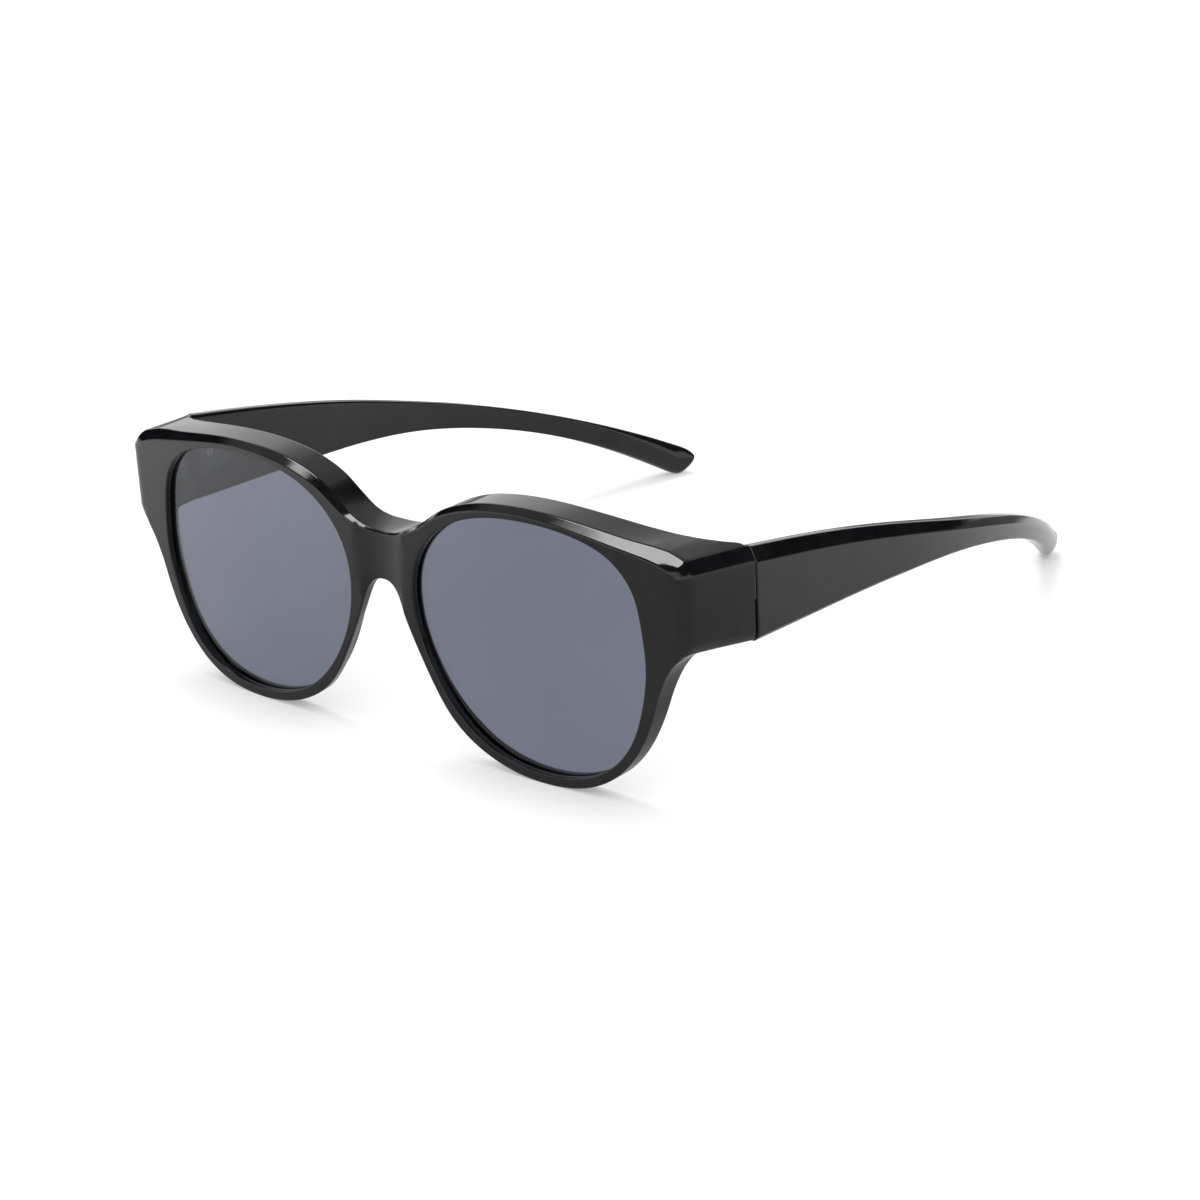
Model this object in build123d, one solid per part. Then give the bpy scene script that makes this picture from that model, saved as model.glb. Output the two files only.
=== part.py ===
from build123d import *
from math import atan, cos, hypot, radians, sin, sqrt
import os

# Fitover sunglasses, open, standing on the two rim bottoms and the two temple tips.
# X runs to the wearer's left, Y to the back, Z up. The origin is under the middle of the whole object.
# Lengths are in millimetres.

# Whole object
overall_depth = 157.0
face_y = -overall_depth / 2
overrun = 2.0
brow_clearance = 11.0

# Front moulding: outline, wrap and depths
frame_half_width = 73.0
frame_height = 55.0
wrap_radius = 795.0
rim_depth = 4.2
wall_thickness = 2.2
side_wall_depth = 5.4
side_wall_start = 33.0
side_wall_foot = 3.0
side_wall_limit = 50.0
corner_round = 2.6
nose_rim_depth = 3.4
nose_relief_radius = 200.0
nose_relief_height = 38.0

# Fall of the top of the brow shelf towards the back, as a share of the way
brow_fall_share = 0.04
# Brow line from the bridge to the outer corner: share of half width, share of height
brow_shares = [
    (0.0, 0.803),
    (0.089, 0.815),
    (0.168, 0.878),
    (0.259, 0.947),
    (0.37, 0.984),
    (0.507, 1.0),
    (0.62, 0.995),
    (0.74, 0.977),
    (0.877, 0.945),
    (0.966, 0.914),
    (1.02, 0.906),
]
# Straight side of the end piece on the face: top and bottom
corner_top_shares = (1.0, 0.88)
corner_bottom_shares = (0.995, 0.597)
# From the end piece down the temporal side to the foot of the rim
temporal_shares = [
    (0.963, 0.562),
    (0.921, 0.48),
    (0.887, 0.355),
    (0.847, 0.227),
    (0.784, 0.115),
    (0.695, 0.038),
]
rim_foot_share = 0.53
# From the foot of the rim up the nasal side to the nose arch
nasal_shares = [
    (0.395, 0.022),
    (0.263, 0.107),
    (0.171, 0.253),
    (0.101, 0.427),
    (0.056, 0.569),
]
nose_arch_share = 0.611

# Bevel between the face and the top of the brow, at each point of the brow line
brow_bevel_drop = 1.9
brow_bevel_depth = 3.3
brow_drop_shares = [0.2, 0.27, 0.42, 0.5, 0.55, 0.65, 0.85, 1.0, 0.97, 0.85, 0.78]
brow_depth_shares = [0.42, 0.45, 0.48, 0.52, 0.6, 0.73, 0.84, 0.92, 1.0, 1.0, 1.0]

# Back edge of the brow shelf in plan: share of half width, share of the end piece's length
shelf_back_shares = [
    (0.0, 0.4),
    (0.274, 0.42),
    (0.548, 0.45),
    (0.753, 0.5),
    (0.877, 0.6),
    (0.952, 0.77),
]

# Bridge: a shallow upright hollow across the face
bridge_hollow_half_width = 6.2
bridge_hollow_depth = 0.9
bridge_hollow_tilt = 1.2

# Lenses: width of the rim between the opening and the outline, from the middle of the bridge,
# at the end piece, under the brow and at the foot
bridge_rim = 8.55
temporal_rim = 9.15
brow_rim = 2.55
foot_rim = 2.05
lens_half_width = (frame_half_width - bridge_rim - temporal_rim) / 2
lens_half_height = (frame_height - brow_rim - foot_rim) / 2
lens_centre_x = bridge_rim + lens_half_width
lens_centre_z = foot_rim + lens_half_height
# Outline of the opening about its centre, as shares of half width and half height
lens_shares = [
    (0.997, 0.09),
    (0.978, 0.34),
    (0.92, 0.62),
    (0.75, 0.84),
    (0.5, 0.95),
    (0.14, 0.997),
    (-0.2, 0.982),
    (-0.52, 0.9),
    (-0.81, 0.7),
    (-0.97, 0.42),
    (-1.0, 0.1),
    (-0.926, -0.232),
    (-0.74, -0.58),
    (-0.448, -0.859),
    (-0.1, -0.985),
    (0.28, -0.986),
    (0.6, -0.865),
    (0.82, -0.63),
    (0.95, -0.28),
]
lens_recess = 1.3
lens_thickness = 1.5
lens_seat = 0.8
lens_gap = 0.05

# End pieces: the upright side walls that carry the hinges
end_length = 20.5
joint_y = face_y + end_length
corner_set_back = 3.4
corner_y = face_y + corner_set_back
joint_flare = 3.2
joint_half_width = frame_half_width + joint_flare
end_thickness = 3.6
corner_top = 50.4
corner_bottom = 32.2
joint_top = 49.0
joint_bottom = 30.7
top_bevel_width = 1.8
top_bevel_height = 2.2
foot_bevel_width = 0.9
foot_bevel_height = 1.2
inner_bevel = 0.5

# Temples: nearly straight at first, then bent inwards and downwards to a rounded tip.
# Stations: share of the way to the round of the tip, of the joint's height and of its thickness
joint_gap = 0.15
temple_slope = 0.106
bend_start = 44.5
tip_inset = 22.6
tip_round = 4.0
tip_steps = 5
tip_foot_share = 0.75
temple_shares = [
    (0.0, 1.0, 1.0),
    (0.125, 0.861, 0.97),
    (0.25, 0.694, 0.94),
    (0.375, 0.516, 0.92),
    (0.5, 0.361, 0.91),
    (0.625, 0.287, 0.93),
    (0.75, 0.262, 1.0),
    (0.875, 0.312, 1.13),
    (1.0, 0.437, 1.25),
]

# Hinges: barrel on an upright axis just inside the joint, with a screwed leaf on each side
barrel_radius = 1.5
barrel_relief = 0.2
barrel_standoff = 0.9
barrel_height = 7.2
knuckle_gap = 0.05
leaf_thickness = 0.9
leaf_sink = 0.5
leaf_length = 8.6
leaf_corner = 1.1
leaf_set_back = 1.9
leaf_gap = 0.05
pin_radius = 0.7
pin_clearance = 0.05
pin_fit = 0.02
pin_head_radius = 1.2
pin_head_height = 0.6
pin_head_edge = 0.2
pin_slot_width = 0.35
pin_slot_depth = 0.25

# Fixing screws of the leaves: two in each leaf
fixing_radius = 0.55
fixing_fit = 0.01
fixing_length = 2.0
fixing_head_radius = 0.95
fixing_head_height = 0.45
fixing_slot_width = 0.25
fixing_slot_depth = 0.15
fixing_pitch = 4.2

hinge_x = joint_half_width - end_thickness - barrel_standoff
hinge_z = (joint_top + joint_bottom) / 2
leaf_floor = joint_half_width - end_thickness + leaf_sink


def at_shares(shares, y):
    """Point on a plane of constant Y from shares of the half width and of the height."""
    return Vector(shares[0] * frame_half_width, y, shares[1] * frame_height)


def both_sides(shape):
    """A shape joined to its mirror image across the middle plane."""
    return shape + mirror(shape, about=Plane.YZ)


def wrapped(depth_from, depth_to):
    """Curved sheet that follows the wrap of the face, between two depths behind it."""
    height = frame_height + 2 * overrun
    middle = Pos(0, face_y + wrap_radius, frame_height / 2)
    outer = Cylinder(wrap_radius - depth_from, height)
    if depth_to is None:
        return middle * outer
    return middle * (outer - Cylinder(wrap_radius - depth_to, height + overrun))


def mirrored_run(points):
    """Points from the middle outwards, joined to their mirror images, as one run across the front."""
    other = [Vector(-p.X, p.Y, p.Z) for p in reversed(points)]
    return other + points


def front_outline(y):
    """Front view of the whole moulding, as a face on a plane of constant Y."""
    brow = [at_shares(s, y) for s in brow_shares[:-1]]
    corner_up = at_shares(corner_top_shares, y)
    corner_down = at_shares(corner_bottom_shares, y)
    temporal = [at_shares(s, y) for s in temporal_shares]
    foot = at_shares((rim_foot_share, 0.0), y)
    nasal = [at_shares(s, y) for s in nasal_shares]
    arch = at_shares((0.0, nose_arch_share), y)
    lower = [arch] + nasal[::-1] + [foot] + temporal[::-1] + [corner_down]
    brow_line = mirrored_run(brow[1:])
    brow_line.insert(len(brow) - 1, brow[0])
    lower_line = mirrored_run(lower[1:])
    lower_line.insert(len(lower) - 1, arch)
    sides = []
    for sign in (-1, 1):
        ends = [brow[-1], corner_up, corner_down]
        points = [Vector(sign * p.X, p.Y, p.Z) for p in ends]
        sides.append([Line(points[0], points[1]), Line(points[1], points[2])])
    return Face(Wire([Spline(brow_line), *sides[0], Spline(lower_line), *sides[1]]))


def lens_outline(y, growth):
    """Front view of the wearer's left lens opening, grown outwards, on a plane of constant Y."""
    points = [
        Vector(
            lens_centre_x + u * (lens_half_width + growth),
            y,
            lens_centre_z + v * (lens_half_height + growth),
        )
        for u, v in lens_shares
    ]
    return Face(Wire([Spline(points, periodic=True)]))


def straight_back(face, length):
    """Prism that runs straight back from a face on a plane of constant Y."""
    return extrude(face, amount=length, dir=(0, 1, 0))


def lens_body(growth, depth_from, depth_to):
    """Curved plate with the lens outline, between two depths behind the face."""
    prism = straight_back(lens_outline(face_y - overrun, growth), rim_depth * 4)
    return prism & wrapped(depth_from, depth_to)


def end_section(y):
    """Section of the end piece at a given Y, outer bevels included, as a face."""
    along = (y - corner_y) / (joint_y - corner_y)
    outer = frame_half_width + along * (joint_half_width - frame_half_width)
    top = corner_top + along * (joint_top - corner_top)
    bottom = corner_bottom + along * (joint_bottom - corner_bottom)
    inner = outer - end_thickness
    inner_top = top + top_bevel_height / 4
    corners = [
        (inner, bottom),
        (outer - foot_bevel_width, bottom),
        (outer, bottom + foot_bevel_height),
        (outer, top - top_bevel_height),
        (outer - top_bevel_width, top),
        (inner, inner_top),
    ]
    return Face(Wire.make_polygon([Vector(x, y, z) for x, z in corners]))


def end_piece():
    """Upright side wall from the face back to the hinge joint."""
    return loft([end_section(face_y - overrun), end_section(joint_y)], ruled=True)


def shelf_plan():
    """Plan view of the brow shelf as a tall prism."""
    length = joint_y - face_y
    back = [Vector(u * frame_half_width, face_y + v * length, 0) for u, v in shelf_back_shares]
    inner_corner = Vector(joint_half_width - end_thickness, joint_y, 0)
    line = mirrored_run(back[1:] + [inner_corner])
    line.insert(len(back), back[0])
    near = face_y - overrun
    edges = [
        Spline(line),
        Line(line[-1], Vector(line[-1].X, near, 0)),
        Line(Vector(line[-1].X, near, 0), Vector(line[0].X, near, 0)),
        Line(Vector(line[0].X, near, 0), line[0]),
    ]
    return extrude(Face(Wire(edges)), amount=frame_height + overrun, dir=(0, 0, 1))


def brow_shelf():
    """Top wall that runs back from the brow line over the wearer's own glasses."""
    outline = front_outline(face_y - overrun)
    band = outline - outline.moved(Pos(0, 0, -wall_thickness))
    prism = straight_back(band, joint_y - face_y + overrun)
    return prism & shelf_plan()


def side_wall():
    """Thin temporal wall behind the rim, deep under the end piece and fading to the foot."""
    outline = front_outline(face_y - overrun)
    band = outline - outline.moved(Pos(-wall_thickness, 0, 0))
    prism = straight_back(band, rim_depth * 4)
    back = wrap_sag(frame_half_width * corner_bottom_shares[0])
    low = side_wall_foot
    high = side_wall_start
    profile = [
        (face_y - overrun, low),
        (face_y + rim_depth, low),
        (face_y + back + side_wall_depth, high),
        (face_y - overrun, high),
    ]
    side = Face(Wire.make_polygon([Vector(side_wall_limit, y, z) for y, z in profile]))
    return prism & extrude(side, amount=frame_half_width - side_wall_limit + overrun, dir=(1, 0, 0))


def wrap_sag(x):
    """How far the wrapped face lies behind its foremost line at a given X."""
    return wrap_radius - sqrt(wrap_radius**2 - x**2)


def brow_bevel_cutter():
    """Wedge that cuts the bevel between the face and the top of the brow, right across the front."""
    near_y = face_y - overrun
    far_y = face_y + brow_bevel_depth + overrun + wrap_sag(frame_half_width)
    reach = joint_half_width + overrun
    near = []
    far = []
    for place, drop_share, depth_share in zip(brow_shares, brow_drop_shares, brow_depth_shares):
        point = at_shares(place, 0)
        slope = drop_share * brow_bevel_drop / (depth_share * brow_bevel_depth)
        edge_y = face_y + wrap_sag(point.X)
        edge_z = point.Z - drop_share * brow_bevel_drop
        near.append(Vector(point.X, near_y, edge_z - slope * (edge_y - near_y)))
        far.append(Vector(point.X, far_y, edge_z + slope * (far_y - edge_y)))
    sections = []
    for line in (near, far):
        last = line[-1]
        step = last - line[-2]
        end = last + step * ((reach - last.X) / step.X)
        run = mirrored_run(line[1:] + [end])
        run.insert(len(line), line[0])
        ceiling = frame_height + brow_clearance
        left = Vector(run[-1].X, last.Y, ceiling)
        right = Vector(run[0].X, last.Y, ceiling)
        edges = [Spline(run), Line(run[-1], left), Line(left, right), Line(right, run[0])]
        sections.append(Face(Wire(edges)))
    return loft(sections, ruled=True)


def above_brow():
    """Everything above the brow line, which falls a little to the back over the end pieces."""
    rise = Vector(0, 0, brow_fall_share * (overrun + brow_bevel_depth))
    line = [at_shares(s, face_y - overrun) + rise for s in brow_shares]
    run = mirrored_run(line[1:])
    run.insert(len(line) - 1, line[0])
    step = line[-1] - line[-2]
    reach = joint_half_width + overrun
    end = line[-1] + step * ((reach - line[-1].X) / step.X)
    start = Vector(-end.X, end.Y, end.Z)
    ceiling = frame_height + brow_clearance
    left = Vector(end.X, end.Y, ceiling)
    right = Vector(start.X, end.Y, ceiling)
    edges = [
        Spline(run),
        Line(run[-1], end),
        Line(end, left),
        Line(left, right),
        Line(right, start),
        Line(start, run[0]),
    ]
    length = joint_y - face_y + 2 * overrun
    return extrude(Face(Wire(edges)), amount=length, dir=(0, 1, -brow_fall_share))


def corner_rounding():
    """What the soft upright corner between the face and the end piece leaves away."""
    face_point = Vector(frame_half_width, face_y + wrap_sag(frame_half_width), 0)
    face_way = Vector(-wrap_radius, -frame_half_width, 0).normalized()
    side_way = Vector(joint_flare, end_length, 0).normalized()
    opening = radians(face_way.get_angle(side_way))
    reach = corner_round / sin(opening / 2) * cos(opening / 2)
    start = face_point + face_way * reach
    end = face_point + side_way * reach
    middle = (face_way + side_way).normalized()
    centre = face_point + middle * (corner_round / sin(opening / 2))
    top_of_arc = centre - middle * corner_round
    front_y = face_y - overrun
    side_x = joint_half_width + overrun
    edges = [
        ThreePointArc(start, top_of_arc, end),
        Line(end, Vector(side_x, end.Y, 0)),
        Line(Vector(side_x, end.Y, 0), Vector(side_x, front_y, 0)),
        Line(Vector(side_x, front_y, 0), Vector(start.X, front_y, 0)),
        Line(Vector(start.X, front_y, 0), start),
    ]
    return extrude(Face(Wire(edges)), amount=frame_height + overrun, dir=(0, 0, 1))


def nose_relief():
    """Broad hollow behind the bridge that thins the nasal parts of the rims."""
    roller = Cylinder(nose_relief_radius, nose_relief_height + overrun)
    centre_y = face_y + nose_rim_depth + nose_relief_radius
    relief = Pos(0, centre_y, (nose_relief_height - overrun) / 2) * roller
    reach = lens_centre_x
    keep = Box(2 * reach, 2 * end_length, frame_height * 2)
    return relief & Pos(0, face_y + nose_rim_depth, 0) * keep


def bridge_hollow():
    """Upright round hollow across the front of the bridge, a little deeper at the top."""
    half = bridge_hollow_half_width
    radius = (half**2 + bridge_hollow_depth**2) / (2 * bridge_hollow_depth)
    roller = Cylinder(radius, frame_height)
    turned = Rot(-bridge_hollow_tilt, 0, 0) * roller
    centre_z = frame_height * (brow_shares[0][1] + nose_arch_share) / 2
    return Pos(0, face_y - radius + bridge_hollow_depth, centre_z) * turned


def leaf_pocket(sign):
    """Room for a hinge leaf and the barrel. sign is -1 in the end piece and 1 in the temple."""
    length = leaf_set_back + leaf_length + leaf_gap
    width = leaf_floor - hinge_x + end_thickness
    block = Box(width, length + overrun, barrel_height + 2 * leaf_gap)
    centre_y = joint_y + sign * (length - overrun) / 2
    block = Pos(leaf_floor - width / 2, centre_y, hinge_z) * block
    relief_height = barrel_height + 2 * pin_head_height + 2 * barrel_relief
    barrel = Cylinder(barrel_radius + barrel_relief, relief_height)
    return block + Pos(hinge_x, joint_y, hinge_z) * barrel


def fixing_places(sign):
    """Y of the two fixing screws in a leaf. sign is -1 on the end piece and 1 on the temple."""
    middle = joint_y + sign * (leaf_set_back + leaf_length / 2)
    return [middle - fixing_pitch / 2, middle + fixing_pitch / 2]


def sideways(shape, x, y):
    """Turns an upright shape so that its +Z points to +X, and puts it at a place on the leaf's height."""
    return Pos(x, y, hinge_z) * Rot(0, 90, 0) * shape


def fixing_screw(growth):
    """Countersunk screw along +Z with its head's face at the origin, grown by a fit."""
    shank = Cylinder(fixing_radius + growth, fixing_length, align=(Align.CENTER, Align.CENTER, Align.MIN))
    head = Cone(
        fixing_head_radius + growth,
        fixing_radius + growth,
        fixing_head_height,
        align=(Align.CENTER, Align.CENTER, Align.MIN),
    )
    return shank + head


def fixing_screws(sign):
    """The two screws of one leaf, each with a driver slot."""
    slot = Box(2 * (fixing_head_radius + overrun), fixing_slot_width, 2 * fixing_slot_depth)
    screw = fixing_screw(0.0) - slot
    head_x = leaf_floor - leaf_thickness
    return Compound(children=[sideways(screw, head_x, y) for y in fixing_places(sign)])


def fixing_holes(sign):
    """Holes for the two screws of one leaf, through the leaf and into the plastic."""
    head_x = leaf_floor - leaf_thickness
    first, second = [sideways(fixing_screw(fixing_fit), head_x, y) for y in fixing_places(sign)]
    return first + second


def knuckle_heights():
    """Middle height and length of the three knuckles, from the foot of the barrel up."""
    length = (barrel_height - 2 * knuckle_gap) / 3
    pitch = length + knuckle_gap
    return [(hinge_z + step * pitch, length) for step in (-1, 0, 1)]


def hinge_leaf(sign, knuckles, bore):
    """Leaf with its knuckles. sign is -1 on the end piece and 1 on the temple."""
    plate = Box(leaf_thickness, leaf_length, barrel_height)
    plate = chamfer(plate.edges().filter_by(Axis.X), leaf_corner)
    leaf_x = leaf_floor - leaf_thickness / 2
    leaf = Pos(leaf_x, joint_y + sign * (leaf_set_back + leaf_length / 2), hinge_z) * plate
    web_length = leaf_set_back + leaf_length / 4
    for z, length in knuckles:
        web = Box(leaf_thickness, web_length, length)
        leaf += Pos(leaf_x, joint_y + sign * web_length / 2, z) * web
        leaf += Pos(hinge_x, joint_y, z) * Cylinder(barrel_radius, length)
    leaf -= Pos(hinge_x, joint_y, hinge_z) * Cylinder(bore, barrel_height + 2 * overrun)
    leaf -= fixing_holes(sign)
    return leaf


def hinge_screw():
    """Screw that pins the three knuckles, with a slotted head on top."""
    shank = Cylinder(pin_radius, barrel_height, align=(Align.CENTER, Align.CENTER, Align.MIN))
    shank = Pos(0, 0, -barrel_height / 2) * shank
    head = Cylinder(pin_head_radius, pin_head_height, align=(Align.CENTER, Align.CENTER, Align.MIN))
    head = chamfer(head.edges().group_by(Axis.Z)[-1], pin_head_edge)
    head = Pos(0, 0, barrel_height / 2) * head
    slot = Box(2 * (pin_head_radius + overrun), pin_slot_width, 2 * pin_slot_depth)
    top = barrel_height / 2 + pin_head_height
    return Pos(hinge_x, joint_y, hinge_z) * (shank + head - Pos(0, 0, top) * slot)


def front_frame():
    """The one-piece front moulding, with its lens grooves, bevels and hinge pockets."""
    outline = front_outline(face_y - overrun)
    front = straight_back(outline, rim_depth * 4) & wrapped(0.0, rim_depth)
    front += brow_shelf() & wrapped(0.0, None)
    front += both_sides(side_wall()) & wrapped(0.0, None)
    front += both_sides(end_piece()) & wrapped(0.0, None)
    front -= above_brow()
    front -= brow_bevel_cutter()
    front -= both_sides(corner_rounding())
    front -= nose_relief()
    front -= both_sides(lens_body(0.0, -overrun, rim_depth + overrun))
    groove_from = lens_recess - lens_gap
    groove_to = lens_recess + lens_thickness + lens_gap
    front -= both_sides(lens_body(lens_seat + lens_gap, groove_from, groove_to))
    front -= both_sides(leaf_pocket(-1))
    front -= both_sides(fixing_holes(-1))
    return front - bridge_hollow()


def tip_height():
    """Height of the temple where the round of its tip starts."""
    return temple_shares[-1][1] * (joint_top - joint_bottom)


def tip_drop(tip_run):
    """Cubic part of the temple's drop at the round of its tip, for a tip that stands on the ground."""
    height = tip_height()
    foot = height * tip_foot_share
    spare = hinge_z - temple_slope * tip_run - height / 2
    tip_slope = temple_slope + 3 * spare / tip_run
    return spare + foot - hypot(tip_slope * tip_round, foot)


def temple_bend(along):
    """Inset, drop below the joint and plan direction of the temple, at a way along its run."""
    run = overall_depth / 2 - joint_y - joint_gap
    bend_run = run - bend_start
    radius = (bend_run**2 + tip_inset**2) / (2 * tip_inset)
    bent = max(along - bend_start, 0.0)
    inset = radius - sqrt(radius**2 - bent**2)
    tip_run = run - tip_round
    drop = temple_slope * along + tip_drop(tip_run) * (along / tip_run) ** 3
    return inset, drop, atan(bent / (radius - inset))


def temple_section(along, height, thickness, lift=0.0):
    """Upright section of the temple across Y, outer bevels included, at a way along its run."""
    inset, drop, turn = temple_bend(along)
    outer = joint_half_width - inset
    y = joint_y + joint_gap + along
    fade = height / (joint_top - joint_bottom)
    top = hinge_z - drop + lift + height / 2
    bottom = top - height
    depth = thickness / cos(turn)
    edge = inner_bevel * fade
    corners = [
        (depth - edge, bottom),
        (foot_bevel_width * fade, bottom),
        (0.0, bottom + foot_bevel_height * fade),
        (0.0, top - top_bevel_height * fade),
        (top_bevel_width * fade, top),
        (depth - edge, top),
        (depth, top - edge),
        (depth, bottom + edge),
    ]
    return Face(Wire.make_polygon([Vector(outer - d, y, z) for d, z in corners]))


def temple():
    """The wearer's left temple: a smooth arm, a rounded tip and a hinge pocket."""
    tip_run = overall_depth / 2 - joint_y - joint_gap - tip_round
    joint_height = joint_top - joint_bottom
    arm = [temple_section(s * tip_run, h * joint_height, t * end_thickness) for s, h, t in temple_shares]
    height = tip_height()
    thickness = temple_shares[-1][2] * end_thickness
    last_angle = radians(90) * tip_steps / (tip_steps + 0.5)
    tip = []
    for step in range(tip_steps + 1):
        angle = last_angle * step / tip_steps
        along = tip_run + tip_round * sin(angle) / sin(last_angle)
        lift = (tip_foot_share - 0.5) * height * (1 - cos(angle))
        tip.append(temple_section(along, height * cos(angle), thickness * sqrt(cos(angle)), lift))
    body = loft(arm) + loft(tip, ruled=True)
    return body - leaf_pocket(1) - fixing_holes(1)


def lens():
    """The wearer's left lens, held in the groove of the rim."""
    return lens_body(lens_seat, lens_recess, lens_recess + lens_thickness)


def left_pieces():
    """Every piece of the wearer's left side, by name."""
    foot, middle, head = knuckle_heights()
    return {
        "lens": lens(),
        "temple": temple(),
        "front_hinge_leaf": hinge_leaf(-1, [foot, head], pin_radius + pin_fit),
        "temple_hinge_leaf": hinge_leaf(1, [middle], pin_radius + pin_clearance),
        "hinge_screw": hinge_screw(),
        "front_leaf_screws": fixing_screws(-1),
        "temple_leaf_screws": fixing_screws(1),
    }


def main():
    os.makedirs("parts", exist_ok=True)
    export_step(front_frame(), "parts/front_frame.step")
    for name, shape in left_pieces().items():
        export_step(shape, f"parts/left_{name}.step")
        export_step(mirror(shape, about=Plane.YZ), f"parts/right_{name}.step")


main()
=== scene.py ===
import math

import bmesh
import bpy
import numpy as np
from mathutils import Matrix, Vector


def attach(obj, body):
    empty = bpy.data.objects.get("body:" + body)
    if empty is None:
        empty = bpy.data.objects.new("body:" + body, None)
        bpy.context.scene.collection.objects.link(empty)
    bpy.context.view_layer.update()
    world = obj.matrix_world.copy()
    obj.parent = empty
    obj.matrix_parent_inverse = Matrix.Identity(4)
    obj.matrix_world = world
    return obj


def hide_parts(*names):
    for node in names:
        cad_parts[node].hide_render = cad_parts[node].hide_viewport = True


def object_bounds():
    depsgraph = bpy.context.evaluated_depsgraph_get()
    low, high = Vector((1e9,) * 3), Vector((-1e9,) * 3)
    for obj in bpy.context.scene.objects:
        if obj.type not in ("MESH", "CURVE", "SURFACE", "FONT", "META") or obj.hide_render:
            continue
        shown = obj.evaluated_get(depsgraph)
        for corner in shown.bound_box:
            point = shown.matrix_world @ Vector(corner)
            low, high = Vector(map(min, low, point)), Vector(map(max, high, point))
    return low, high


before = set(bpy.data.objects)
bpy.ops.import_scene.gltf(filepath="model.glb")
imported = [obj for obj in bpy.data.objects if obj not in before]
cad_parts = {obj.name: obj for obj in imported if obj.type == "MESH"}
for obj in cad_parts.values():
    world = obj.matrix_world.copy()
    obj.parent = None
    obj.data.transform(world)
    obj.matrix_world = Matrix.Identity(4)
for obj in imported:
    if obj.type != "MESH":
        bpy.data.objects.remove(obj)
cad_box = [list(corner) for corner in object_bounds()]

# Fitover sunglasses, open. Shapes are worked out in millimetres and become metres in the meshes.
# X runs to the wearer's left, Z up, and depth counts back from the foremost line of the face.
MM = 0.001
OVERALL_DEPTH = 157.0
FACE_Y = -OVERALL_DEPTH / 2

# Face: a round sheet about an upright axis, with a shallow hollow over the bridge
WRAP_RADIUS = 795.0
HOLLOW_DEPTH = 0.9
HOLLOW_HALF = (5.7, 6.4)
HOLLOW_FADE = 1.5
BRIDGE_FOOT = 33.6
BRIDGE_TOP = 44.2
RIM_DEPTH = 4.2
NOSE_RIM_DEPTH = 3.4
NOSE_RELIEF_RADIUS = 200.0
WALL = 2.2
WALL_BAND_SHARE = 0.55

# Brow line from the middle of the bridge outwards: X, Z, height and depth of its bevel, depth of the
# shelf, and the share of the bevel that is left where the shelf's front edge comes forward and down
BROW = (
    (0.0, 44.2, 0.3, 0.9, 8.2, 1.0),
    (5.0, 44.45, 0.35, 1.0, 8.3, 1.0),
    (7.9, 45.35, 0.5, 1.4, 8.4, 0.95),
    (10.2, 46.75, 0.8, 1.7, 8.5, 0.88),
    (12.5, 48.45, 1.0, 1.9, 8.5, 0.82),
    (15.4, 50.45, 1.15, 2.1, 8.6, 0.8),
    (19.0, 52.1, 1.25, 2.2, 8.7, 0.8),
    (23.6, 53.5, 1.3, 2.3, 8.8, 0.78),
    (29.5, 54.5, 1.3, 2.3, 8.9, 0.76),
    (37.0, 55.0, 1.35, 2.4, 9.0, 0.68),
    (45.4, 54.7, 1.6, 2.7, 9.5, 0.66),
    (53.9, 53.7, 1.8, 3.0, 10.8, 0.68),
    (60.0, 52.7, 1.75, 3.2, 12.3, 0.76),
    (64.5, 51.9, 1.65, 3.3, 13.9, 0.9),
)
BROW_FALL = 0.04
BRIDGE_DIP = 0.9
BRIDGE_DIP_HALF = 7.0
BRIDGE_DIP_POWER = 1.5
BRIDGE_BEVEL_DEPTH = 0.5
UNDER_SHELF = 1.9

# End piece from the brow round to the temporal side: edge of the face (X, Z), the rounding's corner and
# its far edge, back edge, the back edge's inner side (X, depth, Z each), and the root on the rim (X, Z)
END_PIECE = (
    (67.4, 49.6, 67.5, 4.6, 50.4, 67.6, 6.2, 51.15, 68.4, 15.8, 50.8, 67.7, 15.6, 48.8, 66.8, 48.8),
    (69.0, 49.0, 69.4, 4.5, 49.9, 69.5, 6.2, 50.65, 71.2, 18.2, 50.1, 70.5, 17.9, 47.9, 68.9, 48.0),
    (69.9, 48.5, 70.9, 4.1, 49.6, 71.1, 6.4, 50.25, 73.0, 20.5, 49.5, 72.4, 20.5, 47.0, 69.4, 47.1),
    (70.2, 48.1, 71.6, 3.7, 49.4, 71.9, 6.4, 50.0, 74.4, 20.5, 49.0, 72.6, 20.5, 46.5, 69.6, 46.5),
    (70.3, 46.7, 73.0, 3.4, 47.8, 73.5, 6.0, 47.9, 76.2, 20.5, 46.8, 72.6, 20.5, 45.5, 69.7, 45.6),
    (70.3, 34.8, 73.0, 3.4, 34.3, 73.5, 6.0, 34.2, 76.2, 20.5, 32.5, 72.6, 20.5, 32.3, 69.7, 33.2),
    (70.2, 33.5, 72.3, 3.5, 32.75, 72.6, 6.0, 32.5, 75.3, 20.5, 30.7, 72.6, 20.5, 31.5, 69.6, 32.4),
    (70.1, 32.9, 71.9, 3.4, 32.3, 71.9, 5.6, 32.1, 72.7, 20.5, 30.7, 72.4, 20.5, 31.1, 69.5, 32.0),
    (69.8, 32.3, 71.2, 3.3, 31.75, 71.3, 5.0, 31.65, 71.2, 13.9, 31.2, 70.5, 13.8, 31.6, 69.0, 31.8),
    (69.4, 31.6, 70.7, 3.2, 31.15, 70.7, 4.5, 31.05, 70.4, 9.5, 31.0, 68.6, 9.4, 31.2, 68.3, 31.2),
)

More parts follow.
